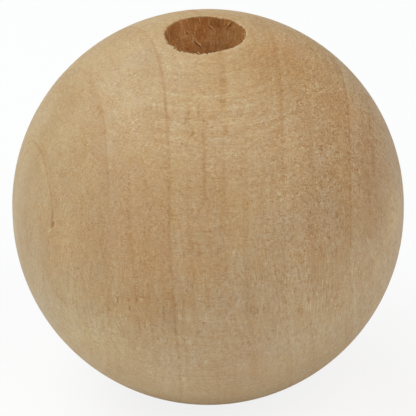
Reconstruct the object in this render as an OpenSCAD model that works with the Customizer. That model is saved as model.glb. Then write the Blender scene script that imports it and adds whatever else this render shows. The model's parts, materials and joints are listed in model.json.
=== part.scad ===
// Turned wooden ball with a bore drilled right through it.
// +Z runs along the bore. The origin is the middle of the ball.

/* [Ball] */
// Diameter across the equator, square to the bore
ball_d = 30; // [20:0.5:60]
// Height of the straight land that is left round the equator, between the two turned halves
land_h = 0.4; // [0.1:0.1:2]

/* [Bore] */
// Diameter of the bore
bore_d = 6; // [3:0.25:12]
// Radius of the eased edge round each mouth of the bore
rim_r = 0.1; // [0.05:0.05:1]

/* [Hidden] */
$fn = 180;

ball_r = ball_d / 2;
bore_r = bore_d / 2;

// The eased edge is an arc that meets both the bore's wall and the turned half smoothly.
// Its middle lies in the wood, one edge radius in from each of them.
rim_x = bore_r + rim_r;
rim_rise = sqrt(pow(ball_r - rim_r, 2) - pow(rim_x, 2));
// Slope of the line from the middle of the turned half to the middle of the eased edge
rim_slope = atan2(rim_rise, rim_x);

// Section of the upper turned half, out from the axis
module turned_half() {
    translate([0, land_h / 2])
        intersection() {
            circle(r = ball_r);
            square(ball_r);
        }
}

// Section of the whole ball with sharp mouths, from the bore's wall out
module turned_section() {
    difference() {
        union() {
            turned_half();
            mirror([0, 1])
                turned_half();
            translate([0, -land_h / 2])
                square([ball_r, land_h]);
        }
        translate([0, -ball_d])
            square([bore_r, 2 * ball_d]);
    }
}

// The sharp corner that the eased edge takes off the upper mouth
module mouth_corner() {
    reach = 4 * rim_r;
    translate([rim_x, land_h / 2 + rim_rise])
        difference() {
            polygon([
                [0, 0],
                [-reach, 0],
                [-reach, reach],
                [reach * cos(rim_slope), reach * sin(rim_slope)]
            ]);
            circle(r = rim_r);
        }
}

module ball() {
    color("burlywood")
        rotate_extrude()
            difference() {
                turned_section();
                mouth_corner();
                mirror([0, 1])
                    mouth_corner();
            }
}

ball();
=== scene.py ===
import json
import math

import bmesh
import bpy
import numpy as np
from mathutils import Matrix, Vector, noise


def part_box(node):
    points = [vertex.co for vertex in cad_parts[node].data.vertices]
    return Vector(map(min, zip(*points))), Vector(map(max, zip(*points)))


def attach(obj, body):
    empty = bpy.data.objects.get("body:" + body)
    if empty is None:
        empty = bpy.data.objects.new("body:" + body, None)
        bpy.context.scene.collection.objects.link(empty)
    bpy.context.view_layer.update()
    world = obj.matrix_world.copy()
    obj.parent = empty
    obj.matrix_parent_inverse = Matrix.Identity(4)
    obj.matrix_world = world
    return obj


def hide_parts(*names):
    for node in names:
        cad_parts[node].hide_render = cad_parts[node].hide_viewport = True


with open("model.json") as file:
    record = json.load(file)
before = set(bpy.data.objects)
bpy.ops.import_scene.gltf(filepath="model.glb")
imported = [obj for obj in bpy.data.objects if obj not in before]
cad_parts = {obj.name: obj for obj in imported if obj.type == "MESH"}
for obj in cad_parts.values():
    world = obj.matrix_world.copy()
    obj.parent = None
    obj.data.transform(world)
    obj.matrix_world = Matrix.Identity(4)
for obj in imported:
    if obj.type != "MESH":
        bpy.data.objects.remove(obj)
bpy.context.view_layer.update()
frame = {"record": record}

# A turned wooden ball with a bore through it. Lengths are in millimetres unless a name says otherwise,
# and become metres where a mesh, lamp or camera is made. +Z runs along the bore, -Y faces the camera.

MM = 0.001


# ---------------------------------------------------------------- sizes, from the frame

BOX_LOW, BOX_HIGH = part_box("ball")
BORE = next(mount for mount in frame["record"]["mounts"] if mount["name"] == "bore")

BALL_R = BOX_HIGH[0] / MM
TOP_Z = BOX_HIGH[2] / MM
BORE_R = BORE["dims"]["r_mm"]
# Radius of the eased edge round each mouth
EDGE_R = 0.1
# The middle of the eased edge, out from the axis and up from the middle of its turned half
EDGE_X = BORE_R + EDGE_R
EDGE_RISE = math.sqrt((BALL_R - EDGE_R) ** 2 - EDGE_X ** 2)
EDGE_Z = TOP_Z - EDGE_R
# Half the height of the straight land round the equator
HALF_LAND = EDGE_Z - EDGE_RISE
EDGE_SLOPE = math.atan2(EDGE_RISE, EDGE_X)


# ---------------------------------------------------------------- camera and light

IMAGE_SIZE = 416
# Pixel of the image that the middle of the ball falls on, and the ball's radius there
MIDDLE_PIXEL = (208.09, 207.00)
BALL_R_PIXELS = 195.50
CAMERA_DISTANCE = 20 * BALL_R
CAMERA_RISE = math.radians(29.49)
CAMERA_ROLL = math.radians(1.03)
SENSOR = 36.0
# Near and far limits of the view, in metres
CLIP = (0.01, 10.0)


def toward(azimuth, elevation):
    """Unit vector. Azimuth 0 points at the camera's side of the ball and 90 to its right, in degrees."""
    azimuth, elevation = math.radians(azimuth), math.radians(elevation)
    flat = math.cos(elevation)
    return Vector((flat * math.sin(azimuth), -flat * math.cos(azimuth), math.sin(elevation)))


def new_object(name, data):
    """A new object in the scene."""
    made = bpy.data.objects.new(name, data)
    bpy.context.scene.collection.objects.link(made)
    return made


def make_camera():
    data = bpy.data.cameras.new("camera")
    data.sensor_width = SENSOR
    focal_pixels = BALL_R_PIXELS * CAMERA_DISTANCE / BALL_R
    data.lens = focal_pixels / IMAGE_SIZE * SENSOR
    half = IMAGE_SIZE / 2
    data.shift_x = (half - MIDDLE_PIXEL[0]) / IMAGE_SIZE
    data.shift_y = (MIDDLE_PIXEL[1] - half) / IMAGE_SIZE
    data.clip_start, data.clip_end = CLIP
    camera = new_object("camera", data)
    back = toward(0, math.degrees(CAMERA_RISE))
    turn = back.to_track_quat("Z", "Y").to_matrix() @ Matrix.Rotation(-CAMERA_ROLL, 3, "Z")
    camera.matrix_world = Matrix.LocRotScale(back * CAMERA_DISTANCE * MM, turn, None)
    bpy.context.scene.camera = camera


# Each soft lamp: name, azimuth, elevation, width, height, power in watts and colour
LAMPS = [
    ("key", -125, 52, 320, 260, 0.86, (0.88, 1.0, 1.04)),
    ("fill", 55, 50, 320, 260, 0.50, (1.05, 1.0, 1.0)),
    ("front", -40, 55, 320, 260, 0.37, (1.02, 1.0, 0.86)),
]
LAMP_DISTANCE = 300
# How bright the white room looks in a glossy surface
SKY_GLOSS = 0.35
FLOOR_SIZE = 3000
FLOOR_COLOUR = (0.8, 0.8, 0.8, 1.0)
# Light that the lit floor gives back to the underside, on top of what it reflects
FLOOR_GLOW = 0.62
FLOOR_GLOW_COLOUR = (0.76, 1.0, 1.22, 1.0)
# Share of plain white in what the camera and a glossy surface see of the floor
FLOOR_SEEN_WHITE = 0.85
FLOOR_GLOSS_WHITE = 0.62
# The white share that a glossy surface sees, and the floor's glow, fade out under the ball as a painted
# contact shadow, from this far out from the point it stands on
CONTACT_SHADE = (4.0, 26.0)


def make_lamps():
    for name, azimuth, elevation, width, height, watts, colour in LAMPS:
        data = bpy.data.lights.new(name, "AREA")
        data.shape = "RECTANGLE"
        data.size = width * MM
        data.size_y = height * MM
        data.energy = watts
        data.color = colour
        lamp = new_object(name, data)
        out = toward(azimuth, elevation)
        turn = out.to_track_quat("Z", "Y").to_matrix()
        lamp.matrix_world = Matrix.LocRotScale(out * LAMP_DISTANCE * MM, turn, None)


# ---------------------------------------------------------------- node helper

# Brings a noise between 0 and 1, which keeps near its middle, to about 1 either way
NOISE_GAIN = 4.0


class Graph:
    """Writes a node tree a term at a time. Each call adds a node and gives back its output."""

    def __init__(self, tree):
        self.tree = tree
        tree.nodes.clear()

    def add(self, kind, inputs=None, **settings):
        node = self.tree.nodes.new(kind)
        for name, value in settings.items():
            setattr(node, name, value)
        for name, value in (inputs or {}).items():
            self.put(node.inputs[name], value)
        return node

    def put(self, socket, value):
        if isinstance(value, bpy.types.NodeSocket):
            self.tree.links.new(value, socket)
        else:
            socket.default_value = value

    def math(self, operation, *values, clamp=False):
        node = self.add("ShaderNodeMath", operation=operation, use_clamp=clamp)
        for socket, value in zip(node.inputs, values):
            self.put(socket, value)
        return node.outputs[0]

    def total(self, *terms):
        result = terms[0]
        for term in terms[1:]:
            result = self.math("ADD", result, term)
        return result

    def product(self, *values):
        result = values[0]
        for value in values[1:]:
            result = self.math("MULTIPLY", result, value)
        return result

    def weighted(self, pairs):
        """Adds up values times their factors, each as it is made, so that few of them wait at once."""
        result = 0.0
        for value, factor in pairs:
            result = self.math("MULTIPLY_ADD", value, factor, result)
        return result

    def scaled(self, value, factor):
        return self.math("MULTIPLY", value, factor)

    def one_plus(self, amount, share):
        """1 where share is 0, and amount more where it is 1."""
        return self.math("MULTIPLY_ADD", share, amount, 1.0)

    def smooth(self, value, start, end):
        """0 before start, 1 past end, and a smooth step between them, which needs no clamp."""
        node = self.add("ShaderNodeMapRange", interpolation_type="SMOOTHSTEP", clamp=False)
        self.put(node.inputs["Value"], value)
        self.put(node.inputs["From Min"], start)
        self.put(node.inputs["From Max"], end)
        return node.outputs["Result"]

    def vector(self, x, y, z):
        return self.add("ShaderNodeCombineXYZ", {"X": x, "Y": y, "Z": z}).outputs[0]

    def noise(self, axes, sizes, seed, detail=0.0):
        """Smooth noise with features of these sizes along the axes."""
        spot = self.vector(*[self.scaled(axis, 1 / size) for axis, size in zip(axes, sizes)])
        return self.noise_at(spot, seed, detail)

    def noise_at(self, spot, seed, detail):
        """Smooth noise about 0, mostly within 1 either way."""
        inputs = {"Vector": spot, "W": seed, "Scale": 1.0, "Detail": detail}
        node = self.add("ShaderNodeTexNoise", inputs, noise_dimensions="4D")
        return self.math("MULTIPLY_ADD", node.outputs["Fac"], NOISE_GAIN, -NOISE_GAIN / 2)


# ---------------------------------------------------------------- wood: its values

# Colour of the sanded wood, as linear light, and how fast each channel darkens along one scale of depth
WOOD_COLOUR = (0.466, 0.305, 0.150)
CHANNEL_RATE = (0.51, 1.0, 1.70)
# A fine speckle of hue: its sizes, and how it shifts each channel
HUE_SIZES = (0.35, 0.8, 2.5)
HUE_SHIFT = (-0.012, 0.0, 0.034)
WOOD_IOR = 1.45
# How rough the surface is, how much the grain changes that, and how high grain and turning marks stand
ROUGHNESS = 0.55
ROUGHNESS_SHIFT = -0.3
RELIEF = 0.02

# Each noise has a seed of its own. Layers of a table count up from theirs, and turning marks and hue add
# their size to it
SEED = {
    "wander": 1.0, "out wave": 2.0, "round wave": 3.0, "slow": 4.0, "grain": 5.0,
    "small tones": 15.0, "large tones": 18.0, "turning": 25.0, "patchy": 30.0, "pores": 31.0,
    "long marks": 33.0, "bars": 34.0, "bore streaks": 35.0, "bore blotches": 36.0, "dashes": 37.0,
    "wisps": 38.0, "turned lines": 39.0, "hue": 40.0,
}

# The pith lies off to the left and towards the camera, and leans back as it rises
PITH = (-36.7, -11.0)
PITH_LEAN = (-0.033, 0.21)
# How much wider the rings grow towards the back left and front right
RING_SKEW = -0.007
# How far the rings wander, and over which lengths along X, Y and Z
WANDER = 0.07
WANDER_SIZES = (4.0, 4.0, 3.5)
# How far the grain waves, out from the pith and round it, told the same way
WAVE = 0.08
WAVE_SIZES = (2.0, 2.0, 1.6)

# Each year's last line: its distance from the pith, how dark it is, its half width and its share of the step
YEAR_LINES = [
    (20.2, 0.09, 0.20, 1.0),
    (24.85, 0.02, 0.16, 0.3),
    (29.0, 0.04, 0.26, 0.55),
    (34.00, 0.14, 0.115, 1.0),
    (38.45, 0.03, 0.14, 0.6),
    (43.0, 0.06, 0.12, 0.9),
    (48.12, 0.02, 0.08, 1.9),
    (53.0, 0.09, 0.25, 1.0),
]
# Wood is paler just outside such a line, and darkens a little just inside it
EARLY_GLOW = 0.055
EARLY_REACH = 1.3
LATE_SHADE = 0.02
LATE_REACH = 0.9

# Streaks along the grain: distance from the pith, depth, half width, and the heights they run between. They
# are dark, or pale where the depth is below 0
STREAKS = [
    (23.9, 0.05, 0.30, -2.5, 2.5),
    (24.55, -0.05, 0.20, -6.0, 2.0),
    (25.0, 0.04, 0.20, -3.0, 8.0),
    (26.9, 0.04, 0.30, 3.5, 7.5),
    (28.15, 0.08, 0.18, -10.0, -3.0),
    (28.5, 0.02, 0.18, -2.5, 5.5),
    (30.45, 0.06, 0.20, -8.5, -3.5),
    (30.8, 0.07, 0.18, -3.0, 9.0),
    (30.8, 0.10, 0.15, 3.8, 7.8),
    (32.2, 0.04, 0.30, -1.0, 9.5),
    (32.8, 0.04, 0.25, 0.5, 4.0),
    (34.60, 0.06, 0.35, -13.0, 0.5),
    (35.55, 0.07, 0.22, -6.0, 13.0),
    (36.3, 0.06, 0.18, 2.0, 5.6),
    (37.08, 0.10, 0.16, 4.6, 7.8),
    (36.85, 0.10, 0.16, 7.8, 13.0),
    (37.0, 0.07, 0.18, -12.0, -5.0),
    (38.62, 0.13, 0.26, 13.9, 15.5),
    (38.5, 0.11, 0.20, 13.0, 14.0),
    (38.48, 0.12, 0.18, 11.1, 12.0),
    (38.38, 0.06, 0.13, 7.0, 11.0),
    (39.0, 0.04, 0.20, 4.5, 9.0),
    (39.25, -0.06, 0.30, 9.5, 14.5),
    (40.0, 0.08, 0.26, -8.0, 10.5),
    (41.3, 0.04, 0.25, -1.0, 8.5),
    (42.4, 0.03, 0.30, 0.5, 9.0),
    (42.95, 0.05, 0.18, 9.0, 13.2),
    (43.12, 0.07, 0.15, 13.6, 15.5),
    (43.4, -0.05, 0.16, 4.0, 14.0),
    (43.7, -0.04, 0.26, 4.5, 9.5),
    (45.1, 0.07, 0.24, -1.0, 5.5),
    (45.08, 0.11, 0.20, 5.5, 11.8),
    (44.8, 0.08, 0.30, -12.0, -3.0),
    (45.9, 0.06, 0.20, 0.5, 4.5),
    (47.2, 0.05, 0.20, -3.0, 1.0),
    (47.55, 0.06, 0.22, -12.0, -4.5),
    (47.75, -0.03, 0.25, 3.0, 8.6),
    (47.85, 0.07, 0.22, 9.6, 12.8),
    (48.42, -0.05, 0.20, 2.6, 12.8),
    (48.75, 0.09, 0.28, -9.0, 0.0),
    (49.45, 0.11, 0.28, -2.0, 9.5),
    (50.05, 0.06, 0.24, 1.0, 10.5),
]
# Thin lines that run unbroken, told the same way
CLEAR_STREAKS = [
    (24.70, 0.24, 0.05, 4.3, 8.4),
    (24.93, 0.12, 0.04, 5.6, 8.4),
    (29.15, 0.16, 0.06, 7.0, 12.0),
    (33.90, 0.06, 0.08, -4.5, 1.5),
    (34.06, 0.09, 0.09, 5.4, 8.6),
    (33.93, -0.06, 0.08, 8.6, 12.5),
    (34.13, 0.16, 0.09, 8.6, 12.5),
    (34.00, 0.07, 0.09, 12.2, 13.6),
    (33.92, 0.17, 0.09, 13.6, 16.0),
    (38.25, 0.12, 0.09, 12.2, 13.4),
    (42.97, 0.08, 0.18, 12.4, 13.4),
    (48.14, 0.19, 0.07, 2.6, 9.6),
    (48.17, 0.34, 0.07, 9.6, 12.5),
    (49.92, 0.19, 0.09, 6.2, 9.8),
]
# They fade out towards the back: gone at the first of these places along Y, and whole at the second
CLEAR_FADE = (2.0, -1.5)
# Length over which a streak or line starts and ends
STREAK_END = 1.4
# Streaks and lines grow stronger and weaker slowly: lengths out from the pith, round it and up, and how much
SLOW_SIZES = (3.0, 8.0, 2.2)
STREAK_CHANGE = 0.45
LINE_CHANGE = 0.25
# The turning marks break the streaks up by this much, and leave at least this share of them
STREAK_BREAKS = 0.55
STREAK_LEAST = 0.1

# Patches of other tone, partly the wood's own and partly painted light and shade, with painted sheen where
# they are greyer low at the front right: place, reach, how much paler, how much greyer and how much redder
PATCHES = [
    (-5.0, -14.0, 0.5, 3.0, -0.10, -0.08, 0.00),
    (4.0, -14.5, -1.0, 4.5, -0.07, 0.05, 0.00),
    (11.5, -9.0, 4.0, 3.0, -0.12, 0.00, 0.00),
    (4.5, -3.0, 14.0, 2.0, -0.15, 0.00, 0.00),
    (-9.5, -10.5, -5.0, 4.5, 0.10, -0.10, 0.00),
    (-11.0, -10.0, 3.0, 3.0, -0.02, -0.10, 0.00),
    (10.5, -0.5, 11.0, 4.5, 0.09, -0.12, 0.00),
    (-3.5, -3.0, 14.5, 4.0, -0.07, 0.07, 0.00),
    (3.5, -9.5, 11.5, 3.0, 0.05, 0.00, 0.00),
    (14.0, -5.0, 2.0, 2.0, 0.13, -0.15, 0.00),
    (8.5, -11.0, 5.5, 2.0, 0.02, 0.10, 0.00),
    (7.0, -10.5, 8.5, 2.0, -0.07, 0.00, 0.00),
    (8.2, -12.2, 2.8, 2.5, -0.08, 0.00, 0.00),
    (11.0, -8.1, 6.1, 3.5, -0.07, 0.00, 0.00),
    (12.9, -6.7, 3.7, 1.5, -0.04, 0.00, 0.00),
    (12.9, 0.1, 7.9, 1.5, 0.05, 0.00, 0.00),
    (4.5, -3.5, 14.0, 2.0, -0.06, 0.00, 0.00),
    (14.5, -3.0, 1.0, 2.0, 0.06, 0.00, 0.00),
    (-5.5, -14.0, 0.0, 1.5, -0.05, 0.00, 0.00),
    (-1.5, -4.0, 14.5, 2.0, 0.00, -0.08, 0.00),
    (10.5, 0.0, 11.0, 2.5, 0.00, 0.08, 0.00),
    (-3.5, 3.5, 14.5, 1.5, 0.07, 0.00, 0.00),
    (4.0, 3.5, 14.5, 1.5, -0.06, 0.00, 0.00),
    (3.0, 0.5, 12.5, 1.5, 0.06, -0.02, 0.00),
    (5.6, -1.0, 14.1, 1.2, -0.08, 0.00, 0.00),
    (7.4, 0.7, 13.2, 1.2, 0.05, 0.00, 0.00),
    (7.4, -2.8, 12.8, 1.5, -0.04, 0.00, 0.00),
    (3.7, -5.3, 13.7, 1.5, -0.04, 0.00, 0.00),
    (0.2, -5.8, 14.0, 1.5, -0.04, 0.00, 0.00),
    (0.0, -13.1, 7.4, 1.5, -0.04, 0.00, 0.00),
    (-5.5, -12.2, 6.8, 1.5, -0.04, 0.00, 0.00),
    (-0.3, -10.6, -10.8, 2.0, 0.05, 0.00, 0.00),
    (-4.5, -14.0, 4.5, 5.0, 0.00, 0.00, 0.05),
    (-11.0, -10.0, 3.0, 4.0, 0.00, 0.00, 0.03),
    (-4.0, -4.5, 14.0, 4.0, 0.00, 0.00, -0.03),
    (11.0, -4.0, 10.0, 4.0, 0.00, 0.00, 0.05),
    (6.5, -0.5, 14.0, 2.5, -0.02, 0.00, 0.05),
    (-5.5, -12.5, -6.5, 3.0, 0.00, 0.00, 0.03),
    (-7.5, -9.5, 9.0, 3.5, 0.00, 0.05, 0.02),
    (2.0, -13.5, -6.0, 4.0, -0.01, 0.05, 0.03),
    (7.0, -12.5, 4.0, 3.0, 0.00, 0.04, 0.01),
    (-6.0, -13.0, 5.0, 2.5, -0.04, 0.00, 0.01),
    (1.5, 2.6, 14.3, 1.0, -0.05, -0.06, 0.00),
    (-2.6, 1.5, 13.0, 1.2, 0.00, 0.00, -0.03),
    (-6.5, -6.0, 12.5, 2.0, 0.04, -0.02, 0.00),
    (-9.0, -4.0, 11.5, 2.5, -0.02, 0.00, 0.00),
]
# How greyness, which low at the front right is painted sheen, and redness shift each channel
GREY_SHIFT = (-0.35, 0.0, 1.0)
RED_SHIFT = (1.0, 0.0, 0.0)

# Fields of short dark bars across the grain, told as the streaks are
BARS = [
    (36.6, 0.12, 2.0, -12.0, 11.8),
    (38.5, 0.22, 0.38, 12.8, 15.0),
]
BAR_SIZES = (0.60, 0.60, 0.17)
# The noise that gives a bar starts to show at the first value and is full at the second
BAR_EDGE = (0.15, 0.9)
# Dashes along the grain: size out from the pith, round it and along the fibres, how dark the dark ones are,
# how pale the pale ones, and the noise at which they start and are full
DASH_SIZES = (0.11, 0.11, 0.9)
DARK_DASH = 0.26
PALE_DASH = 0.18
DASH_EDGE = (0.35, 1.0)
# They show low on the right, where the fine grain is quieter: from none to most, along X and along Z
QUIET_ACROSS = (2.0, 7.0)
QUIET_UP = (2.0, -2.5)
QUIET_GRAIN = -0.28
QUIET_DASHES = 0.8
# They show in this field too: ends across, and lowest and highest
DASH_FIELD = ((4.0, 5.5), (10.5, 8.5), (-2.5, -1.0), (4.0, 2.5))
FIELD_DASHES = 0.7
# Darker blocks beside a year line: ends in distance from the pith, ends in height, depth, share of the dashes
BLOCKS = [
    ((30.2, 31.0), (34.35, 34.1), (-2.1, -1.6), (1.6, 0.4), 0.045, 0.45),
    ((26.4, 27.6), (29.35, 29.15), (8.5, 10.0), (14.4, 13.6), 0.045, 0.30),
]

# Layers of fine grain: size out from the pith, size round it, size along the fibres, strength
GRAIN_LAYERS = [
    (0.09, 0.09, 0.11, 0.09),
    (0.30, 0.12, 0.09, 0.11),
    (0.12, 0.12, 0.60, 0.07),
    (0.22, 0.22, 2.00, 0.06),
    (0.30, 0.30, 0.35, 0.02),
]
# Dark pores and flecks, told the same way, and the noise at which they start and are full
PORES = [
    (0.11, 0.11, 0.40, 0.20),
    (0.40, 0.16, 0.17, 0.12),
]
PORE_EDGE = (0.25, 1.0)
# The grain's strength, and how much stronger it is at the upper right, where the fibres' ends are cut
GRAIN_STRENGTH = 0.93
END_GRAIN = 0.68
# That goes from none to most along X, and over a soft edge along a line that climbs from this place on X
END_GRAIN_ACROSS = (2.0, 10.0)
END_GRAIN_START = 5.0
END_GRAIN_SLOPE = 0.9
END_GRAIN_EDGE = (-3.0, 3.0)
# It is calmer low down, and differs from place to place
LOW_GRAIN = -0.28
LOW_GRAIN_UP = (-2.0, -10.0)
PATCHY_GRAIN = 0.40
PATCHY_SIZES = (0.8, 0.8, 1.3)
# Layers of slow change in tone, told as the grain is. The small ones are weaker at the lower right
SMALL_TONES = [
    (0.60, 4.00, 8.00, 0.030),
    (0.30, 3.00, 6.00, 0.025),
    (0.60, 0.60, 0.90, 0.018),
]
LARGE_TONES = [
    (1.50, 1.50, 2.50, 0.030),
    (4.00, 4.00, 6.00, 0.045),
]
EVEN_TONES = -0.45
EVEN_ACROSS = (0.0, 2.0)
EVEN_UP = (4.0, 1.0)

# How the rubbed wall of the bore differs from sanded wood, in each channel
BORE_STAIN = (0.14, -0.13, -0.44)
# A torn fibre has this share of it, and is this much paler
TORN_STAIN = 0.88
TORN_GLOW = 0.34
# Where the rubbed wood starts and is full: out from the wall, and down from the top
RUBBED_OUT = (0.44, 0.36)
RUBBED_DOWN = (0.06, 0.13)
# Painted shade in its grooves and painted light on its ridges: how much darker a groove in it is, for each
# millimetre down to this limit
GROOVE_PAINTED_SHADE = 1.3
GROOVE_LIMIT = 0.07
# A painted highlight on the lip round it: how much paler the lip is, and where that starts and is full, out
# from the wall
RIM_HIGHLIGHT = 0.08
RIM_HIGHLIGHT_OUT = (0.36, 0.18)
# Streaks, blotches and pale wisps on the bore's wall: sizes along X, Y and Z, and strength
BORE_STREAK_SIZES = (0.30, 0.30, 2.5)
BORE_STREAKS = 0.09
BORE_BLOTCH_SIZES = (0.9, 0.9, 1.2)
BORE_BLOTCHES = 0.09
WISP_SIZES = (0.16, 0.16, 0.7)
WISPS = 0.30
WISP_EDGE = (0.3, 1.1)
# Shades down the bore: where they start and are full, and how much paler. The first darkens the wall just
# under the mouth; the second, deep down, is painted shade, and so is the last one, which is on the left only
BORE_SHADES = [
    (1.3, 0.5, -0.13),
    (2.4, 3.6, -0.08),
]
# Painted shade deep in the bore on its left: where it starts and is full, how much paler, and where the left
# side starts and is full along X
LEFT_SHADE = (2.8, 3.5, -0.20)
LEFT_SIDE = (1.5, 0.0)

# Marks left by turning: length round the ball, height over its surface, strength
TURNING_MARKS = [
    (0.9, 0.13, 0.07),
    (2.5, 0.35, 0.03),
]
# How strong they are everywhere, how much stronger on the cap, and how much stronger still on its right
TURNED_ALL = 0.35
TURNED_CAP = 0.20
TURNED_CAP_RIGHT = 0.50
CAP_UP = (5.0, 11.0)
CAP_ACROSS = (-3.0, 2.0)
# Added to the ball's radius, so that every height in it has an angle
CLIMB_ROOM = 0.05
# Long marks: sizes, strength everywhere, and fields of more: ends across, lowest and highest, strength
LONG_MARK_SIZES = (4.5, 4.5, 0.28)
LONG_MARKS = 0.012
LONG_MARK_FIELDS = [
    ((-5.0, -3.0), (7.0, 5.0), (7.0, 9.5), (20.0, 19.0), 0.03),
    ((-3.5, -2.5), (2.4, 1.0), (-9.5, -7.5), (0.5, -1.5), 0.045),
]
# Lines that the tool left round the ball under the mouth: height, half height, how much paler
TURNED_LINES = [
    (13.57, 0.05, -0.06),
    (13.37, 0.06, 0.09),
    (12.97, 0.04, -0.05),
    (12.80, 0.05, 0.09),
    (12.42, 0.07, -0.09),
    (12.07, 0.05, 0.09),
    (11.90, 0.04, 0.07),
    (11.62, 0.10, -0.07),
    (11.36, 0.05, 0.07),
]
# Their ends across, and how much and over which lengths they grow stronger and weaker
TURNED_SIDES = ((-4.8, -3.2), (6.0, 3.5))
TURNED_CHANGE = 0.5
TURNED_SIZES = (1.2, 1.2, 0.5)


# ---------------------------------------------------------------- wood: its pattern


class Place:
    """Where a point of the wood lies, in millimetres, in the terms that the parts of its pattern share."""

    def __init__(self, g):
        metres = g.add("ShaderNodeTexCoord").outputs["Object"]
        # A shader can keep few values waiting. All streaks wait for the wander, so it is made first, straight
        # from the place
        scale = [1 / (MM * size) for size in WANDER_SIZES]
        wander_spot = g.add("ShaderNodeMapping", {"Vector": metres, "Scale": scale}).outputs[0]
        wander = g.noise_at(wander_spot, SEED["wander"], detail=1.0)
        self.mm = g.add("ShaderNodeVectorMath", {0: metres, "Scale": 1 / MM}, operation="SCALE").outputs[0]
        self.x, self.y, self.z = g.add("ShaderNodeSeparateXYZ", {0: self.mm}).outputs
        self.xyz = self.x, self.y, self.z

        # Distance from the pith, the way round it, and both once more with the grain's small waves
        self.distance = g.math("MULTIPLY_ADD", wander, WANDER, ring_distance(g, *self.xyz))
        self.way_round = way_round(g, self.x, self.y)
        out_wave = g.noise(self.xyz, WAVE_SIZES, SEED["out wave"])
        round_wave = g.noise(self.xyz, WAVE_SIZES, SEED["round wave"])
        self.out_wave = g.math("MULTIPLY_ADD", out_wave, WAVE, self.distance)
        self.round_wave = g.math("MULTIPLY_ADD", round_wave, WAVE, self.way_round)
        self.fibres = self.out_wave, self.round_wave, self.z

        # Height over the turned surface, distance from the bore's wall, and depth under the mouths
        share = g.scaled(self.z, 1 / (BALL_R + CLIMB_ROOM))
        self.climb = g.scaled(g.math("ARCSINE", share), BALL_R)
        self.turned = self.x, self.y, self.climb
        rho = g.math("SQRT", g.total(g.product(self.x, self.x), g.product(self.y, self.y)))
        self.out = g.math("SUBTRACT", rho, BORE_R)
        self.down = g.math("SUBTRACT", TOP_Z, g.math("ABSOLUTE", self.z))
        self.in_bore = g.product(g.smooth(self.out, *RUBBED_OUT), g.smooth(self.down, *RUBBED_DOWN))


def ring_distance(g, x, y, z):
    """Distance of a point from the leaning pith."""
    across = g.math("SUBTRACT", x, g.math("MULTIPLY_ADD", z, PITH_LEAN[0], PITH[0]))
    along = g.math("SUBTRACT", y, g.math("MULTIPLY_ADD", z, PITH_LEAN[1], PITH[1]))
    squares = g.total(g.product(across, across), g.product(along, along))
    skew = g.scaled(g.product(x, y), RING_SKEW)
    return g.total(g.math("SQRT", squares), skew)


def way_round(g, x, y):
    """Length round the pith, as far out from it as the ball is."""
    angle = g.math("ARCTAN2", g.math("SUBTRACT", y, PITH[1]), g.math("SUBTRACT", x, PITH[0]))
    return g.scaled(angle, -PITH[0])


def bell(g, past, half_width):
    """1 where past is 0, falling off smoothly on both sides."""
    square = g.product(past, past)
    return g.math("EXPONENT", g.scaled(square, -1 / half_width ** 2))


def between(g, z, low, high):
    """1 between two heights, with soft ends."""
    half = STREAK_END / 2
    return window(g, z, (low - half, low + half), (high + half, high - half))


def window(g, value, start, end):
    """1 between two soft edges. Each edge runs from where it is 0 to where it is 1."""
    return g.product(g.smooth(value, *start), g.smooth(value, *end))


def layers(g, axes, table, seed):
    """The noises of a table, each with its strength."""
    for row, (*sizes, strength) in enumerate(table):
        yield g.noise(axes, sizes, seed + row), strength


def clearness(g, at, breaks):
    """How clear the streaks are, which break up at the turning marks, and how clear the lines are."""
    slow = g.noise((at.distance, at.way_round, at.z), SLOW_SIZES, SEED["slow"])
    broken = g.math("MAXIMUM", g.one_plus(STREAK_BREAKS, breaks), STREAK_LEAST)
    return g.product(g.one_plus(STREAK_CHANGE, slow), broken), g.one_plus(LINE_CHANGE, slow)


def year_ring_pairs(g, at, lines_clear):
    """Each ring starts pale, darkens outwards and ends in a thin dark line."""
    for radius, depth, half_width, step in YEAR_LINES:
        past = g.math("SUBTRACT", at.distance, radius)
        outside = g.smooth(past, -half_width, half_width)
        size = g.math("ABSOLUTE", past)
        glow = g.math("EXPONENT", g.scaled(size, -1 / EARLY_REACH))
        shade = g.math("EXPONENT", g.scaled(size, -1 / LATE_REACH))
        yield g.product(bell(g, past, half_width), lines_clear), -depth
        yield g.product(glow, outside), EARLY_GLOW * step
        yield g.product(shade, g.math("SUBTRACT", 1.0, outside)), -LATE_SHADE * step


def streak_pairs(g, at, table):
    """The streaks of a table, each with how much paler it makes the wood."""
    for radius, depth, half_width, low, high in table:
        line = bell(g, g.math("SUBTRACT", at.distance, radius), half_width)
        yield g.product(line, between(g, at.z, low, high)), -depth


def streak_shade(g, at, streaks_clear, lines_clear):
    """The streaks, and the thin lines that run unbroken."""
    streaks = g.product(g.weighted(streak_pairs(g, at, STREAKS)), streaks_clear)
    lines = g.product(g.weighted(streak_pairs(g, at, CLEAR_STREAKS)), lines_clear)
    return g.total(streaks, g.product(lines, g.smooth(at.y, *CLEAR_FADE)))


def bar_shade(g, at):
    """Fields of short dark bars across the grain."""
    bars = g.noise((at.out_wave, at.round_wave, at.climb), BAR_SIZES, SEED["bars"])
    return g.product(g.weighted(streak_pairs(g, at, BARS)), g.smooth(bars, *BAR_EDGE))


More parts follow.
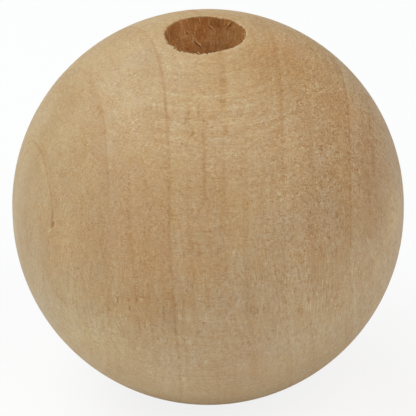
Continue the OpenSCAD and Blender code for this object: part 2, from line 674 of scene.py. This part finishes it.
def dash_shade(g, at, quiet):
    """Dark and pale dashes along the grain, and the darker blocks that they show in."""
    noise_here = g.noise(at.fibres, DASH_SIZES, SEED["dashes"])
    start, full = DASH_EDGE
    dark, pale = g.smooth(noise_here, start, full), g.smooth(noise_here, -start, -full)
    dashes = g.weighted([(dark, -DARK_DASH), (pale, PALE_DASH)])
    field = g.product(window(g, at.x, *DASH_FIELD[:2]), window(g, at.z, *DASH_FIELD[2:]))
    shares = [(quiet, QUIET_DASHES), (field, FIELD_DASHES)]
    blocks = []
    for nearest, furthest, lowest, highest, deep, dash_share in BLOCKS:
        block = g.product(window(g, at.distance, nearest, furthest), window(g, at.z, lowest, highest))
        blocks.append((block, -deep))
        shares.append((block, dash_share))
    return g.math("MULTIPLY_ADD", dashes, g.weighted(shares), g.weighted(blocks))


def fine_grain(g, at, quiet):
    """The fine grain with its pores and flecks, as strong as it is in each place."""
    pores = ((g.smooth(noise_here, *PORE_EDGE), -depth)
             for noise_here, depth in layers(g, at.fibres, PORES, SEED["pores"]))
    grain = g.total(g.weighted(layers(g, at.fibres, GRAIN_LAYERS, SEED["grain"])), g.weighted(pores))
    over_line = g.math("MULTIPLY_ADD", g.math("SUBTRACT", at.x, END_GRAIN_START), -END_GRAIN_SLOPE, at.z)
    end_grain = g.product(g.smooth(at.x, *END_GRAIN_ACROSS), g.smooth(over_line, *END_GRAIN_EDGE))
    strength = g.math("MULTIPLY_ADD", end_grain, END_GRAIN, GRAIN_STRENGTH)
    low = g.one_plus(LOW_GRAIN, g.smooth(at.z, *LOW_GRAIN_UP))
    patchy = g.one_plus(PATCHY_GRAIN, g.noise(at.xyz, PATCHY_SIZES, SEED["patchy"]))
    return g.product(grain, strength, low, patchy, g.one_plus(QUIET_GRAIN, quiet))


def tone_shade(g, at):
    """Slow changes in tone, with the small ones evened out at the lower right."""
    even = g.product(g.smooth(at.x, *EVEN_ACROSS), g.smooth(at.z, *EVEN_UP))
    small = g.weighted(layers(g, at.fibres, SMALL_TONES, SEED["small tones"]))
    large = g.weighted(layers(g, at.fibres, LARGE_TONES, SEED["large tones"]))
    return g.math("MULTIPLY_ADD", small, g.one_plus(EVEN_TONES, even), large)


def turning_marks(g, at):
    """The noises of the turning marks."""
    return [g.noise(at.turned, (length, length, height), SEED["turning"] + length)
            for length, height, _ in TURNING_MARKS]


def turning_shade(g, at, marks):
    """What turning left: short marks all over, long ones, and single lines under the mouth."""
    short = g.weighted((mark, strength) for mark, (_, _, strength) in zip(marks, TURNING_MARKS))
    cap = g.math("MULTIPLY_ADD", g.smooth(at.x, *CAP_ACROSS), TURNED_CAP_RIGHT, TURNED_CAP)
    cap = g.math("MULTIPLY_ADD", g.smooth(at.z, *CAP_UP), cap, TURNED_ALL)
    fields = ((g.product(window(g, at.x, left, right), window(g, at.z, lowest, highest)), more)
              for left, right, lowest, highest, more in LONG_MARK_FIELDS)
    long_strength = g.total(g.weighted(fields), LONG_MARKS)
    long_marks = g.product(g.noise(at.turned, LONG_MARK_SIZES, SEED["long marks"]), long_strength)
    lines = g.weighted((bell(g, g.math("SUBTRACT", at.z, height), half), pale)
                       for height, half, pale in TURNED_LINES)
    change = g.one_plus(TURNED_CHANGE, g.noise(at.turned, TURNED_SIZES, SEED["turned lines"]))
    lines = g.product(lines, window(g, at.x, *TURNED_SIDES), change)
    return g.total(g.product(short, cap), long_marks, lines)


def patch_shares(g, at):
    """How much paler, greyer and redder the patches make the wood, partly its own tone and partly painted
    light, shade and sheen.
    """
    totals = [0.0, 0.0, 0.0]
    for px, py, pz, reach, *amounts in PATCHES:
        away = g.add("ShaderNodeVectorMath", {0: at.mm, 1: (px, py, pz)}, operation="DISTANCE")
        share = bell(g, away.outputs["Value"], reach)
        for index, amount in enumerate(amounts):
            if amount:
                totals[index] = g.math("MULTIPLY_ADD", share, amount, totals[index])
    return totals


def mark_pairs(g, at):
    """The small marks, each with how much paler it makes the wood."""
    for azimuth, height, half_width, half_length, slant, _, darker in MARKS:
        middle, turn = mark_frame(azimuth, height, slant)
        inputs = {
            "Vector": at.mm,
            "Location": middle,
            "Rotation": turn.to_euler(),
            "Scale": (half_width, MARK_THICKNESS, half_length),
        }
        local = g.add("ShaderNodeMapping", inputs, vector_type="TEXTURE")
        away = g.add("ShaderNodeVectorMath", {0: local.outputs[0]}, operation="LENGTH")
        yield bell(g, away.outputs["Value"], 1.0), -darker


def bore_shade(g, at):
    """Streaks, blotches and wisps on the rubbed wall, which is darker just under the mouth, with painted
    shade deep down, more of it on the left.
    """
    wisps = g.noise(at.xyz, WISP_SIZES, SEED["wisps"])
    pairs = [
        (g.noise(at.xyz, BORE_STREAK_SIZES, SEED["bore streaks"], detail=1.0), BORE_STREAKS),
        (g.noise(at.xyz, BORE_BLOTCH_SIZES, SEED["bore blotches"]), BORE_BLOTCHES),
        (g.smooth(wisps, *WISP_EDGE), WISPS),
    ]
    for start, full, pale in BORE_SHADES:
        pairs.append((g.smooth(at.down, start, full), pale))
    start, full, pale = LEFT_SHADE
    pairs.append((g.product(g.smooth(at.down, start, full), g.smooth(at.x, *LEFT_SIDE)), pale))
    return g.product(g.weighted(pairs), at.in_bore)


def painted_groove_shade(g, at):
    """Painted shade in the grooves of the rubbed wall, darker where they are deeper, and painted light on its
    ridges.
    """
    deep = g.math("MAXIMUM", g.math("MINIMUM", at.out, GROOVE_LIMIT), -GROOVE_LIMIT)
    return g.scaled(g.product(deep, at.in_bore), -GROOVE_PAINTED_SHADE)


def rim_highlight(g, at):
    """The painted highlight on the lip round each mouth."""
    return g.scaled(g.product(g.smooth(at.out, *RIM_HIGHLIGHT_OUT), g.math("SUBTRACT", 1.0, at.in_bore)), RIM_HIGHLIGHT)


def wood_colour(g, at, depth, stained, greyer, redder):
    """The sanded wood's colour, with each channel shifted at its own rate."""
    hue = g.total(*[g.noise(at.xyz, (size, size, size), SEED["hue"] + size) for size in HUE_SIZES])
    channels = []
    for rate, shift, stain, grey, red in zip(CHANNEL_RATE, HUE_SHIFT, BORE_STAIN, GREY_SHIFT, RED_SHIFT):
        pairs = [(depth, rate), (hue, shift), (greyer, grey), (redder, red), (stained, stain)]
        channels.append(g.math("EXPONENT", g.weighted(pairs)))
    tint = g.add("ShaderNodeVectorMath", {0: g.vector(*channels), 1: WOOD_COLOUR}, operation="MULTIPLY")
    return tint.outputs[0]


def wood_material(name, torn):
    """Sanded wood that is rubbed darker in the bore, with painted shade there and a painted highlight on its
    lip, or the fresh wood of a torn fibre.
    """
    material = bpy.data.materials.new(name)
    material.use_nodes = True
    g = Graph(material.node_tree)
    at = Place(g)
    marks = turning_marks(g, at)
    streaks_clear, lines_clear = clearness(g, at, marks[-1])
    quiet = g.product(g.smooth(at.x, *QUIET_ACROSS), g.smooth(at.z, *QUIET_UP))
    grain = fine_grain(g, at, quiet)
    turning = turning_shade(g, at, marks)
    depth = g.total(g.weighted(year_ring_pairs(g, at, lines_clear)), grain, turning, bar_shade(g, at),
                    dash_shade(g, at, quiet), tone_shade(g, at), bore_shade(g, at), rim_highlight(g, at))
    if torn:
        depth = g.total(depth, TORN_GLOW)
        stained, greyer, redder = TORN_STAIN, 0.0, 0.0
    else:
        paler, greyer, redder = patch_shares(g, at)
        depth = g.total(depth, paler, streak_shade(g, at, streaks_clear, lines_clear),
                        g.weighted(mark_pairs(g, at)), painted_groove_shade(g, at))
        stained = at.in_bore
    relief = g.scaled(g.total(grain, turning), RELIEF)
    bump = g.add("ShaderNodeBump", {"Height": relief, "Distance": MM, "Strength": 1.0})
    shader = g.add("ShaderNodeBsdfPrincipled", {
        "Base Color": wood_colour(g, at, depth, stained, greyer, redder),
        "Normal": bump.outputs[0],
        "Roughness": g.math("MULTIPLY_ADD", grain, ROUGHNESS_SHIFT, ROUGHNESS, clamp=True),
        "IOR": WOOD_IOR,
    })
    g.add("ShaderNodeOutputMaterial", {"Surface": shader.outputs[0]})
    return material


# ---------------------------------------------------------------- ball

# Points in a fine row round the ball, and in a coarse one
FINE = 512
COARSE = 256
# How far the fine rows go down the bore and out over the ball from each mouth
FINE_DEPTH = 4.0
COLLAR = 0.6
# Rows of the outside, of the fine collar, of the eased edge, of the fine wall and of the wall below it
OUTER_ROWS = 50
COLLAR_ROWS = 8
EDGE_ROWS = 6
WALL_ROWS = 38
DEEP_ROWS = 8
# How much the wall's rows crowd towards the mouth
WALL_CROWDING = 1.35

# Where the upper mouth stands wider or tighter: degrees from the camera's side towards +X, half width, amount
MOUTH_SHAPE = [
    (-170, 18, 0.04),
    (-135, 22, 0.04),
    (-70, 25, -0.08),
    (-24, 12, 0.03),
    (-11, 3, 0.09),
    (20, 15, -0.13),
    (58, 10, 0.03),
    (98, 12, 0.04),
    (122, 8, -0.11),
    (158, 12, -0.11),
]
# It falls off over this depth down the bore, and over this width round the mouth
SHAPE_DEPTH = 0.7
SHAPE_COLLAR = 0.35
# Teeth left by torn fibres round each mouth: width, most that they reach into the wood, share left off
TEETH = [
    (0.13, 0.13, 0.0),
    (0.32, 0.13, 0.30),
]
# Where the upper mouth's teeth are worn off (or rougher): middle, half width, share worn off
WORN_TEETH = [
    (42, 38, 0.80),
    (-176, 9, 0.95),
    (-38, 20, -0.8),
]
TEETH_DEPTH = 0.25
TEETH_COLLAR = 0.10
# How far a tooth's edge sinks, for each millimetre that it reaches in
TEETH_DROP = 0.4
# Grooves down the bore's wall: width, length, depth, share that is left off
GROOVES = [
    (0.20, 2.20, 0.030, 0.0),
    (0.45, 1.10, 0.070, 0.45),
    (0.30, 0.30, 0.040, 0.40),
]
# The wall's middle level between ridge and groove, and how they start under the mouth and end deep down
GROOVE_LEVEL = 0.3
GROOVE_START = 0.3
GROOVE_END_POWER = 4
# Places in the noise for teeth and grooves, and how steeply it climbs out of a crease
TEETH_SEED = 10.5
GROOVE_SEED = 30.5
CREASE_GAIN = 1.8

# Small marks: degrees from the camera's side towards +X, height, half width, half length, slant in degrees,
# how deep they are pressed in, and how much darker they are, or paler where that is below 0
MARKS = [
    # The slit is darker partly in its own wood and partly as painted shade in its dent
    (-52.6, 3.75, 0.16, 0.26, -15, 0.10, 0.68),
    (-53.4, 4.30, 0.07, 0.30, 0, 0.05, 0.60),
    (-53.4, 3.20, 0.06, 0.28, -45, 0.03, -0.45),
    (-52.4, 3.30, 0.05, 0.24, -45, 0.00, 0.36),
    (-51.6, 3.90, 0.06, 0.26, 0, 0.02, -0.28),
    # The nick is paler as a painted highlight
    (72.6, 7.85, 0.11, 0.10, 0, 0.06, -0.62),
    (73.8, 7.45, 0.08, 0.26, 15, 0.06, 0.34),
    (-27.0, -0.20, 0.06, 0.26, 12, 0.05, 0.60),
    (-27.6, -0.15, 0.06, 0.20, 6, 0.00, -0.12),
    (-23.2, -0.70, 0.06, 0.20, 6, 0.06, 0.60),
    (-23.6, 0.00, 0.06, 0.16, 0, 0.00, 0.55),
    (-21.0, 0.20, 0.09, 0.24, -8, 0.05, 0.45),
    (-19.4, 0.50, 0.24, 0.07, 0, 0.04, 0.40),
    (-19.6, 0.25, 0.14, 0.10, 0, 0.00, -0.35),
    (-74.0, 11.70, 0.14, 0.14, 0, 0.03, 0.35),
    (-56.0, 11.70, 0.09, 0.16, 0, 0.00, 0.37),
    (-53.2, 11.50, 0.08, 0.22, 5, 0.04, 0.37),
    (-9.0, 12.65, 0.10, 0.34, 0, 0.00, 0.26),
    (-4.0, 12.70, 0.11, 0.50, 0, 0.00, 0.26),
    (-6.2, 11.70, 0.11, 0.34, 0, 0.00, 0.26),
    (-1.6, 11.35, 0.10, 0.45, 0, 0.00, 0.22),
    (-1.2, 10.40, 0.10, 0.35, 0, 0.00, 0.16),
    (8.6, 11.70, 0.10, 0.40, 0, 0.00, 0.28),
    (12.4, 13.90, 0.24, 0.34, 0, 0.00, 0.22),
    (9.6, 12.90, 0.12, 0.40, 0, 0.00, 0.20),
]
# How far a mark's shade reaches into the wood
MARK_THICKNESS = 0.5
# Faces this near a mark are cut finer before it is pressed in
MARK_REACH = 0.55
MARK_CUTS = 5


def mark_frame(azimuth, height, slant):
    """Middle of a mark, and the turn whose X runs across it, Y out of the wood and Z along it."""
    turn = math.radians(azimuth - 90)
    land = math.copysign(min(abs(height), HALF_LAND), height)
    rise = math.asin((height - land) / BALL_R)
    out = Vector((math.cos(turn) * math.cos(rise), math.sin(turn) * math.cos(rise), math.sin(rise)))
    along = (Vector((0, 0, 1)) - out * out.z).normalized()
    along = Matrix.Rotation(math.radians(slant), 3, out) @ along
    frame_turn = Matrix((out.cross(along), out, along)).transposed()
    return BALL_R * out + Vector((0, 0, land)), frame_turn


def places_of(items, name):
    """The places of a mesh's faces or points, in millimetres."""
    values = np.empty(3 * len(items))
    items.foreach_get(name, values)
    return values.reshape(-1, 3) / MM


def press_marks(mesh):
    """Cuts the faces near the deep marks finer, and presses the marks into the wood."""
    deep_marks = [mark for mark in MARKS if mark[5] > 0]
    centres = places_of(mesh.polygons, "center")
    near = np.zeros(len(centres), bool)
    for azimuth, height, _, _, slant, _, _ in deep_marks:
        place, _ = mark_frame(azimuth, height, slant)
        near |= np.linalg.norm(centres - np.array(place), axis=1) < MARK_REACH
    shape = bmesh.new()
    shape.from_mesh(mesh)
    shape.faces.ensure_lookup_table()
    edges = {edge for index in np.flatnonzero(near) for edge in shape.faces[index].edges}
    bmesh.ops.subdivide_edges(shape, edges=list(edges), cuts=MARK_CUTS, use_grid_fill=True)
    shape.to_mesh(mesh)
    shape.free()
    spots = places_of(mesh.vertices, "co")
    for azimuth, height, half_width, half_length, slant, deep, _ in deep_marks:
        place, turn = mark_frame(azimuth, height, slant)
        across, out, along = ((spots - np.array(place)) @ np.array(turn)).T
        share = np.exp(-(across / half_width) ** 2 - (along / half_length) ** 2)
        share[np.abs(out) > MARK_REACH] = 0.0
        spots -= np.outer(share * deep, np.array(turn.col[1]))
    mesh.vertices.foreach_set("co", (spots * MM).ravel())


def ridged(turn, along, width, length, seed):
    """0 along sharp creases, about width apart round the bore and length apart down it, up to 1 between."""
    spot = Vector((BORE_R * math.cos(turn) / width, BORE_R * math.sin(turn) / width, along / length + seed))
    return min(1.0, CREASE_GAIN * abs(noise.noise(spot)))


def bump_at(turn, middle, half_width):
    """1 at a middle in degrees from the camera's side towards +X, falling off smoothly on both sides."""
    past = (math.degrees(turn) + 90 - middle + 180) % 360 - 180
    return math.exp(-(past / half_width) ** 2)


def teeth(turn, side):
    """How far the torn teeth of a mouth reach into the wood."""
    cut = 0.0
    for width, reach, rest in TEETH:
        tooth = ridged(turn, 0.0, width, 1.0, TEETH_SEED * side + width)
        cut += reach * max(0.0, tooth - rest)
    if side > 0:
        for middle, half_width, worn in WORN_TEETH:
            cut *= 1 - worn * bump_at(turn, middle, half_width)
    return cut


def grooves(turn, z, down):
    """How deep the bore's wall is grooved, from nothing at the mouth to nothing deep down."""
    groove = 0.0
    for width, length, reach, rest in GROOVES:
        deep = ridged(turn, z, width, length, GROOVE_SEED + length)
        groove += reach * (max(0.0, deep - rest) - GROOVE_LEVEL * (1 - rest))
    fade = min(1.0, down / GROOVE_START) * max(0.0, 1 - (down / FINE_DEPTH) ** GROOVE_END_POWER)
    return groove * fade


def wear(turn, rho, z):
    """How far the wear of a mouth and its bore moves a point of the section out from the axis, and down."""
    side = 1 if z > 0 else -1
    down = max(0.0, EDGE_Z - abs(z))
    over = max(0.0, rho - EDGE_X)
    wide = 0.0
    if side > 0:
        wide = sum(amount * bump_at(turn, middle, half_width) for middle, half_width, amount in MOUTH_SHAPE)
    wide *= math.exp(-down / SHAPE_DEPTH - over / SHAPE_COLLAR)
    cut = teeth(turn, side) * math.exp(-down / TEETH_DEPTH - over / TEETH_COLLAR)
    groove = grooves(turn, z, down) if rho <= BORE_R else 0.0
    return wide + cut + groove, TEETH_DROP * cut * side


def half_profile():
    """The section from the middle of the bore's wall over the upper mouth to the edge of the land.

    Each row is its distance from the axis, its height, and whether it is a fine row.
    """
    rows = []
    for height in np.linspace(0.0, EDGE_Z - FINE_DEPTH, DEEP_ROWS, endpoint=False):
        rows.append((BORE_R, height, False))
    for step in np.linspace(0.0, 1.0, WALL_ROWS, endpoint=False):
        rows.append((BORE_R, EDGE_Z - FINE_DEPTH * (1.0 - step) ** WALL_CROWDING, True))
    for angle in np.linspace(math.pi, EDGE_SLOPE, EDGE_ROWS, endpoint=False):
        rows.append((EDGE_X + EDGE_R * math.cos(angle), EDGE_Z + EDGE_R * math.sin(angle), True))
    collar_end = EDGE_SLOPE - COLLAR / BALL_R
    collar = np.linspace(EDGE_SLOPE, collar_end, COLLAR_ROWS, endpoint=False)
    outer = np.linspace(collar_end, 0.0, OUTER_ROWS)
    for fine, angles in ((True, collar), (False, outer)):
        for angle in angles:
            rows.append((BALL_R * math.cos(angle), HALF_LAND + BALL_R * math.sin(angle), fine))
    return rows


def whole_profile():
    """The closed section, up through the bore and down the outside."""
    upper = half_profile()
    lower = [(rho, -z, fine) for rho, z, fine in upper]
    return upper + lower[:0:-1]


def ball_mesh():
    """The turned ball and its torn fibres, with the marks pressed in."""
    rows = whole_profile()
    points, starts, counts = [], [], []
    start = 0
    for rho, z, fine in rows:
        count = FINE if fine else COARSE
        turn = np.linspace(0.0, 2 * math.pi, count, endpoint=False)
        moved = [wear(angle, rho, z) if fine else (0.0, 0.0) for angle in turn]
        out, drop = np.transpose(moved)
        points.append(np.stack([(rho + out) * np.cos(turn), (rho + out) * np.sin(turn), z - drop], axis=1))
        starts.append(start)
        counts.append(count)
        start += count
    faces = []
    for here in range(len(rows)):
        after = (here + 1) % len(rows)
        faces += joined_rows(starts[here], counts[here], starts[after], counts[after])
    turned_faces = len(faces)
    for fibre in torn_fibres():
        fibre_points, fibre_faces = sliver(*fibre)
        points.append(fibre_points)
        faces += [tuple(start + corner for corner in face) for face in fibre_faces]
        start += len(fibre_points)
    mesh = bpy.data.meshes.new("ball_wood")
    mesh.from_pydata(np.concatenate(points) * MM, [], faces)
    mesh.polygons.foreach_set("use_smooth", np.ones(len(faces), bool))
    mesh.polygons.foreach_set("material_index", np.arange(len(faces)) >= turned_faces)
    press_marks(mesh)
    mesh.update()
    return mesh


def joined_rows(start, count, after, next_count):
    """Faces between two rows of points, where one row may have twice as many as the other."""
    if count > next_count:
        return [face[::-1] for face in joined_rows(after, next_count, start, count)]
    faces = []
    for i in range(count):
        j = (i + 1) % count
        if count == next_count:
            faces.append((start + i, start + j, after + j, after + i))
        else:
            near, middle, far = after + 2 * i, after + 2 * i + 1, after + 2 * j
            faces.append((start + i, middle, near))
            faces.append((start + i, start + j, middle))
            faces.append((start + j, far, middle))
    return faces


# Torn fibres on the bore's wall: half width, then points of angle from the far side towards +X, height and
# stand-off from the wall
TORN_FIBRES = [
    (0.106, [(-15.0, 13.3, -0.04), (-13.3, 12.8, 0.01), (-10.0, 12.55, 0.03), (-6.6, 12.4, 0.03),
             (-5.6, 12.1, 0.01), (-5.2, 11.7, -0.04)]),
    (0.094, [(5.4, 14.7, -0.04), (6.8, 14.1, 0.01), (9.8, 13.9, 0.03), (15.6, 13.6, -0.04)]),
    (0.075, [(-28.5, 13.9, -0.04), (-25.3, 13.65, 0.01), (-22.0, 13.3, -0.04)]),
    (0.075, [(-16.5, 13.8, -0.04), (-15.4, 13.4, 0.01), (-14.7, 12.9, -0.04)]),
    (0.081, [(31.0, 13.7, -0.04), (34.8, 14.2, 0.02), (38.2, 14.45, 0.02), (40.5, 14.75, -0.02)]),
    (0.069, [(35.1, 14.0, -0.04), (35.6, 13.5, 0.01), (36.2, 13.0, -0.04)]),
    (0.069, [(42.8, 13.9, -0.04), (42.2, 13.4, 0.01), (41.7, 12.8, -0.04)]),
    (0.062, [(12.5, 13.1, -0.04), (13.5, 12.5, 0.01), (14.4, 11.9, -0.04)]),
    (0.062, [(-8.7, 14.8, -0.02), (-7.7, 14.5, 0.01), (-6.7, 14.2, -0.04)]),
    (0.062, [(21.4, 13.2, -0.04), (20.6, 12.7, 0.01), (20.0, 12.2, -0.04)]),
    (0.050, [(-173.0, 14.76, -0.12), (-170.5, 14.82, 0.00), (-167.5, 14.78, 0.07)]),
    (0.040, [(92.0, 14.75, -0.12), (90.0, 14.80, 0.03), (86.0, 14.60, 0.10)]),
    (0.040, [(101.0, 14.76, -0.12), (98.0, 14.80, 0.02), (95.0, 14.65, 0.08)]),
]
FIBRE_SIDES = 4
FIBRE_RINGS = 10
# How thick a fibre stays at its tips, how it tapers to them, and how flat it lies
FIBRE_TIP = 0.08
FIBRE_TAPER = 0.6
FIBRE_FLATNESS = 0.35
# Smaller fibres in each mouth: how many, then the least and most slant in degrees, height of the lower end,
# length, stand-off of the middle and half width. Their ends are sunk, and they stay clear of the rim
SMALL_FIBRES = 45
SMALL_SLANTS = (-4, 4)
SMALL_HEIGHTS = (9.8, 14.2)
SMALL_LENGTHS = (0.3, 1.1)
SMALL_STANDS = (0.01, 0.03)
SMALL_HALF_WIDTHS = (0.015, 0.028)
SUNK_END = -0.04
RIM_GAP = 0.15
FIBRE_SEED = 7


def torn_fibres():
    """The fibres that show in the upper mouth, and smaller ones that follow the grain in both."""
    rng = np.random.default_rng(FIBRE_SEED)
    fibres = list(TORN_FIBRES)
    for side in (1, -1):
        for _ in range(SMALL_FIBRES):
            angle = rng.uniform(-180, 180)
            slant = rng.uniform(*SMALL_SLANTS)
            low = rng.uniform(*SMALL_HEIGHTS)
            length = rng.uniform(*SMALL_LENGTHS)
            high = min(low + length, TOP_Z - RIM_GAP)
            stand = rng.uniform(*SMALL_STANDS)
            path = [
                (angle, side * low, SUNK_END),
                (angle + slant / 2, side * (low + high) / 2, stand),
                (angle + slant, side * high, SUNK_END),
            ]
            fibres.append((rng.uniform(*SMALL_HALF_WIDTHS), path))
    return fibres


def sliver(half_width, path):
    """A thin closed fibre along a smooth curve through its points, tapered to both ends."""
    places = []
    for angle, z, stand in path:
        turn, out = math.radians(angle), BORE_R - stand
        places.append(Vector((out * math.sin(turn), out * math.cos(turn), z)))
    places = [2 * places[0] - places[1]] + places + [2 * places[-1] - places[-2]]
    points, faces = [], []
    for ring in range(FIBRE_RINGS + 1):
        share = ring / FIBRE_RINGS
        spot = share * (len(path) - 1)
        step = min(int(spot), len(path) - 2)
        middle, way = on_curve(places[step:step + 4], spot - step)
        side = way.cross(Vector((middle.x, middle.y, 0))).normalized()
        front = side.cross(way).normalized()
        width = half_width * max(FIBRE_TIP, math.sin(math.pi * share) ** FIBRE_TAPER)
        for corner in range(FIBRE_SIDES):
            turn = 2 * math.pi * corner / FIBRE_SIDES
            points.append(middle + width * (math.cos(turn) * side + FIBRE_FLATNESS * math.sin(turn) * front))
    for ring in range(FIBRE_RINGS):
        here, above = ring * FIBRE_SIDES, (ring + 1) * FIBRE_SIDES
        for corner in range(FIBRE_SIDES):
            after = (corner + 1) % FIBRE_SIDES
            faces.append((here + corner, here + after, above + after, above + corner))
    last = FIBRE_RINGS * FIBRE_SIDES
    faces.append(tuple(range(FIBRE_SIDES - 1, -1, -1)))
    faces.append(tuple(range(last, last + FIBRE_SIDES)))
    return np.array([tuple(point) for point in points]), faces


def on_curve(four, share):
    """Place and direction on the smooth curve between the middle two of four points."""
    before, start, end, after = four
    bend = 2 * before - 5 * start + 4 * end - after
    twist = 3 * start - before - 3 * end + after
    place = start + 0.5 * share * ((end - before) + share * (bend + share * twist))
    way = 0.5 * ((end - before) + 2 * share * bend + 3 * share * share * twist)
    return place, way.normalized()


def make_ball():
    piece = new_object("ball_wood", ball_mesh())
    piece.data.materials.append(wood_material("turned_wood", torn=False))
    piece.data.materials.append(wood_material("torn_wood", torn=True))
    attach(piece, "root")
    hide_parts("ball")


# ---------------------------------------------------------------- floor and sky


def floor_material():
    """Matte white that keeps a soft shadow, mixed with plain white for what looks at it."""
    material = bpy.data.materials.new("floor_white")
    material.use_nodes = True
    g = Graph(material.node_tree)
    rays = g.add("ShaderNodeLightPath").outputs
    spot = g.add("ShaderNodeTexCoord").outputs["Object"]
    far_out = g.add("ShaderNodeVectorMath", {0: spot}, operation="LENGTH").outputs["Value"]
    clear = g.smooth(far_out, *[edge * MM for edge in CONTACT_SHADE])
    seen = g.scaled(rays["Is Camera Ray"], FLOOR_SEEN_WHITE)
    glossy = g.product(g.scaled(rays["Is Glossy Ray"], FLOOR_GLOSS_WHITE), clear)
    share = g.math("MAXIMUM", g.math("MAXIMUM", seen, glossy), rays["Is Transmission Ray"])
    matte = g.add("ShaderNodeBsdfDiffuse", {"Color": FLOOR_COLOUR})
    white = g.add("ShaderNodeEmission")
    mix = g.add("ShaderNodeMixShader", {0: share, 1: matte.outputs[0], 2: white.outputs[0]})
    glow_strength = g.product(g.scaled(rays["Is Diffuse Ray"], FLOOR_GLOW), clear)
    glow = g.add("ShaderNodeEmission", {"Color": FLOOR_GLOW_COLOUR, "Strength": glow_strength})
    both = g.add("ShaderNodeAddShader", {0: mix.outputs[0], 1: glow.outputs[0]})
    g.add("ShaderNodeOutputMaterial", {"Surface": both.outputs[0]})
    return material


def make_floor():
    half = FLOOR_SIZE * MM / 2
    corners = [(-half, -half, 0), (half, -half, 0), (half, half, 0), (-half, half, 0)]
    mesh = bpy.data.meshes.new("floor")
    mesh.from_pydata(corners, [], [(0, 1, 2, 3)])
    floor = new_object("floor", mesh)
    floor.location.z = BOX_LOW[2]
    mesh.materials.append(floor_material())


def make_sky():
    world = bpy.data.worlds.new("sky")
    bpy.context.scene.world = world
    world.use_nodes = True
    g = Graph(world.node_tree)
    rays = g.add("ShaderNodeLightPath").outputs
    glossy = g.scaled(rays["Is Glossy Ray"], SKY_GLOSS)
    seen = g.math("MAXIMUM", rays["Is Camera Ray"], rays["Is Transmission Ray"])
    strength = g.math("MAXIMUM", seen, glossy)
    background = g.add("ShaderNodeBackground", {"Strength": strength})
    g.add("ShaderNodeOutputWorld", {"Surface": background.outputs[0]})


bpy.context.scene.view_settings.view_transform = "Standard"
make_camera()
make_ball()
make_floor()
make_lamps()
make_sky()
